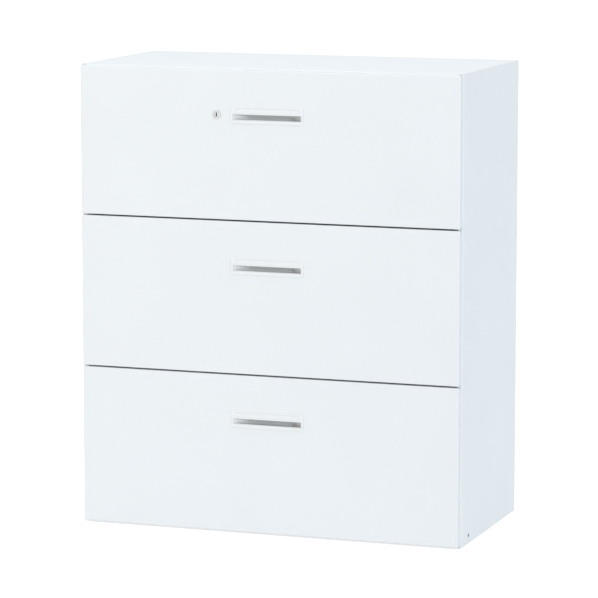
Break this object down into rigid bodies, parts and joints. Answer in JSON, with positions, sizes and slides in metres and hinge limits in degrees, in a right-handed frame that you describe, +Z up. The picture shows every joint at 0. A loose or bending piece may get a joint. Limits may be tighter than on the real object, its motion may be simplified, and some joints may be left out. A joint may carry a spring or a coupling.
{
  "type": "lateral filing cabinet",
  "caption": "Wide white steel filing cabinet with full-width drawers on telescopic rails, recessed pulls and a key lock that holds the drawers shut.",
  "frame": {"origin": "on the floor under the middle of the cabinet", "axes": "+X to the right of someone facing the drawers, +Y to the back, +Z up"},
  "size_m": [0.9, 0.45, 1.05],
  "materials": {
    "case_paint": "fine-textured white powder coat on sheet steel",
    "front_paint": "fine-textured white powder coat on sheet steel",
    "tray_paint": "smooth white powder coat on sheet steel",
    "post_paint": "light grey paint on rolled steel",
    "zinc_steel": "bright zinc plating on rolled steel",
    "pull_plastic": "satin white moulded plastic",
    "lock_nickel": "nickel plating on a die-cast lock",
    "black_plastic": "black moulded foot"
  },
  "bodies": {
    "cabinet": {"left_side_panel": "case_paint", "right_side_panel": "case_paint", "top_panel": "case_paint", "base_pan": "case_paint", "back_panel": "case_paint", "front_left_post": "post_paint", "front_right_post": "post_paint", "rear_left_post": "post_paint", "rear_right_post": "post_paint", "upper_left_cabinet_rail": "zinc_steel", "upper_right_cabinet_rail": "zinc_steel", "middle_left_cabinet_rail": "zinc_steel", "middle_right_cabinet_rail": "zinc_steel", "lower_left_cabinet_rail": "zinc_steel", "lower_right_cabinet_rail": "zinc_steel", "upper_rod_guide": "zinc_steel", "lower_rod_guide": "zinc_steel"},
    "upper_drawer": {"upper_front_panel": "front_paint", "upper_front_liner": "front_paint", "upper_tray": "tray_paint", "upper_tray_back": "tray_paint", "upper_pull": "pull_plastic", "upper_front_file_rail": "zinc_steel", "upper_rear_file_rail": "zinc_steel", "upper_left_drawer_rail": "zinc_steel", "upper_right_drawer_rail": "zinc_steel", "lock_housing": "lock_nickel"},
    "upper_slides": {"upper_left_intermediate_rail": "zinc_steel", "upper_right_intermediate_rail": "zinc_steel"},
    "middle_drawer": {"middle_front_panel": "front_paint", "middle_front_liner": "front_paint", "middle_tray": "tray_paint", "middle_tray_back": "tray_paint", "middle_pull": "pull_plastic", "middle_front_file_rail": "zinc_steel", "middle_rear_file_rail": "zinc_steel", "middle_left_drawer_rail": "zinc_steel", "middle_right_drawer_rail": "zinc_steel"},
    "middle_slides": {"middle_left_intermediate_rail": "zinc_steel", "middle_right_intermediate_rail": "zinc_steel"},
    "lower_drawer": {"lower_front_panel": "front_paint", "lower_front_liner": "front_paint", "lower_tray": "tray_paint", "lower_tray_back": "tray_paint", "lower_pull": "pull_plastic", "lower_front_file_rail": "zinc_steel", "lower_rear_file_rail": "zinc_steel", "lower_left_drawer_rail": "zinc_steel", "lower_right_drawer_rail": "zinc_steel"},
    "lower_slides": {"lower_left_intermediate_rail": "zinc_steel", "lower_right_intermediate_rail": "zinc_steel"},
    "lock_plug": {"lock_plug": "lock_nickel", "lock_pinion": "zinc_steel"},
    "lock_bolt": {"lock_bolt_bar": "zinc_steel"},
    "lock_rod": {"lock_rod": "zinc_steel"},
    "front_left_leveller": {"front_left_leveller": "black_plastic"},
    "front_right_leveller": {"front_right_leveller": "black_plastic"},
    "rear_left_leveller": {"rear_left_leveller": "black_plastic"},
    "rear_right_leveller": {"rear_right_leveller": "black_plastic"}
  },
  "joints": [
    {"name": "upper_drawer_slide", "type": "slide", "parent": "cabinet", "child": "upper_drawer", "axis": [0, -1, 0], "range_m": [0, 0.35]},
    {"name": "upper_rail_slide", "type": "slide", "parent": "cabinet", "child": "upper_slides", "axis": [0, -1, 0], "range_m": [0, 0.175]},
    {"name": "middle_drawer_slide", "type": "slide", "parent": "cabinet", "child": "middle_drawer", "axis": [0, -1, 0], "range_m": [0, 0.35]},
    {"name": "middle_rail_slide", "type": "slide", "parent": "cabinet", "child": "middle_slides", "axis": [0, -1, 0], "range_m": [0, 0.175]},
    {"name": "lower_drawer_slide", "type": "slide", "parent": "cabinet", "child": "lower_drawer", "axis": [0, -1, 0], "range_m": [0, 0.35]},
    {"name": "lower_rail_slide", "type": "slide", "parent": "cabinet", "child": "lower_slides", "axis": [0, -1, 0], "range_m": [0, 0.175]},
    {"name": "lock_rod_lift", "type": "slide", "parent": "cabinet", "child": "lock_rod", "axis": [0, 0, 1], "range_m": [0, 0.00942]},
    {"name": "lock_turn", "type": "hinge", "parent": "upper_drawer", "child": "lock_plug", "pos_m": [-0.119, -0.225, 0.9468], "axis": [0, -1, 0], "range_deg": [0, 93]},
    {"name": "lock_bolt_slide", "type": "slide", "parent": "upper_drawer", "child": "lock_bolt", "axis": [-1, 0, 0], "range_m": [0, 0.00942]},
    {"name": "front_left_leveller_screw", "type": "slide", "parent": "cabinet", "child": "front_left_leveller", "axis": [0, 0, -1], "range_m": [0, 0.012]},
    {"name": "front_right_leveller_screw", "type": "slide", "parent": "cabinet", "child": "front_right_leveller", "axis": [0, 0, -1], "range_m": [0, 0.012]},
    {"name": "rear_left_leveller_screw", "type": "slide", "parent": "cabinet", "child": "rear_left_leveller", "axis": [0, 0, -1], "range_m": [0, 0.012]},
    {"name": "rear_right_leveller_screw", "type": "slide", "parent": "cabinet", "child": "rear_right_leveller", "axis": [0, 0, -1], "range_m": [0, 0.012]}
  ],
  "couplings": [
    {"joint": "upper_rail_slide", "follows": "upper_drawer_slide", "ratio": 0.5},
    {"joint": "middle_rail_slide", "follows": "middle_drawer_slide", "ratio": 0.5},
    {"joint": "lower_rail_slide", "follows": "lower_drawer_slide", "ratio": 0.5},
    {"joint": "lock_turn", "follows": "lock_rod_lift", "rad_per_m": 166.67},
    {"joint": "lock_bolt_slide", "follows": "lock_rod_lift", "ratio": 1}
  ]
}
